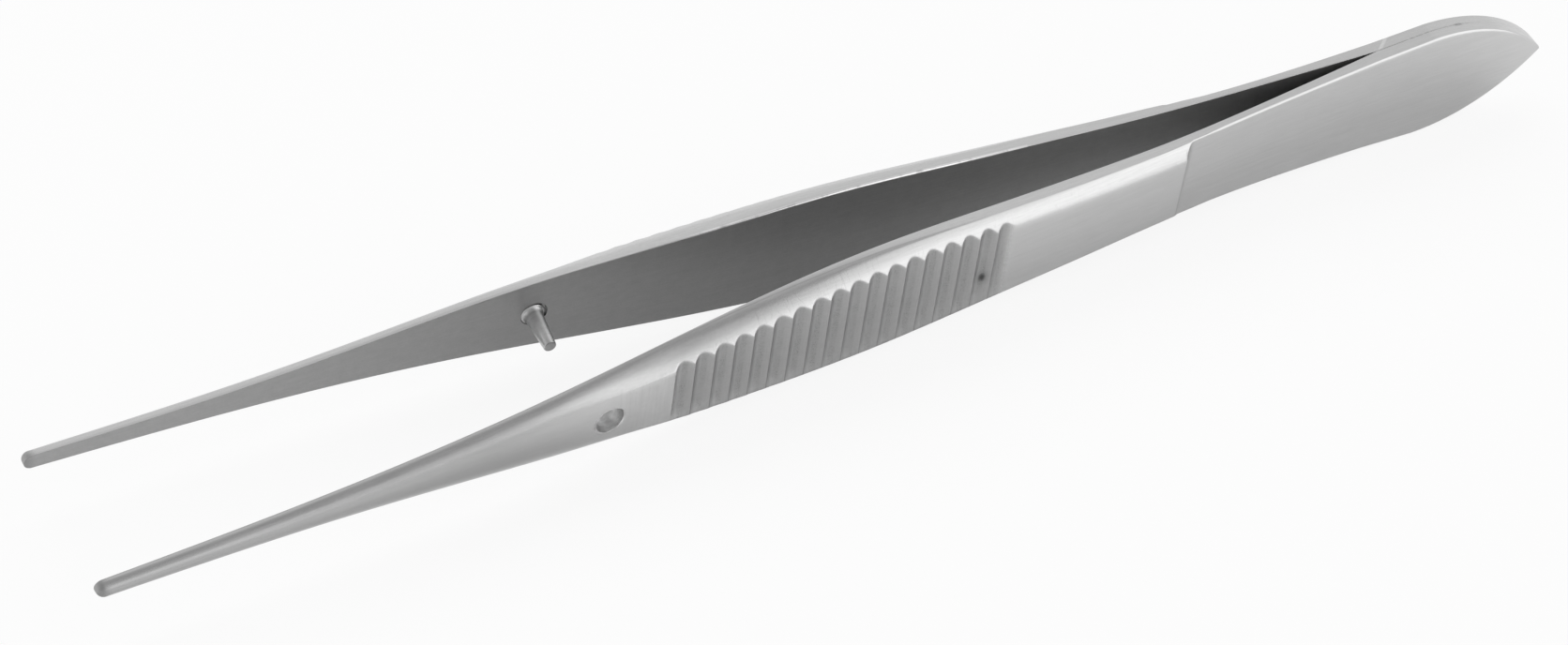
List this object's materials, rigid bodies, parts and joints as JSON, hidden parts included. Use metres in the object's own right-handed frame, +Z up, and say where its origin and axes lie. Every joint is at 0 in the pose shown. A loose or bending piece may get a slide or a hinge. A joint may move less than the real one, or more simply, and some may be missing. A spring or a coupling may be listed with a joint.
{
  "type": "thumb forceps",
  "caption": "Thumb forceps with two bowed spring arms welded at a leaf-shaped tail, grooved grips, a tapered guide pin facing a round hole, and slender smooth blunt tips.",
  "frame": {"origin": "centre of the bounding box's base: half way along the forceps, on the plane the two arms meet on, at the height of the surface it lies on", "axes": "+X along the forceps from the tail to the tips, +Y across the opening towards the arm with the hole, +Z up, across the width of the arms"},
  "size_m": [0.115, 0.0128, 0.0095],
  "materials": {
    "arm_with_hole": "satin brushed stainless steel",
    "arm_with_pin": "satin brushed stainless steel",
    "guide_pin": "turned stainless steel"
  },
  "bodies": {
    "root": {"arm_with_hole": "arm_with_hole", "arm_with_pin": "arm_with_pin", "guide_pin": "guide_pin"}
  },
  "joints": []
}
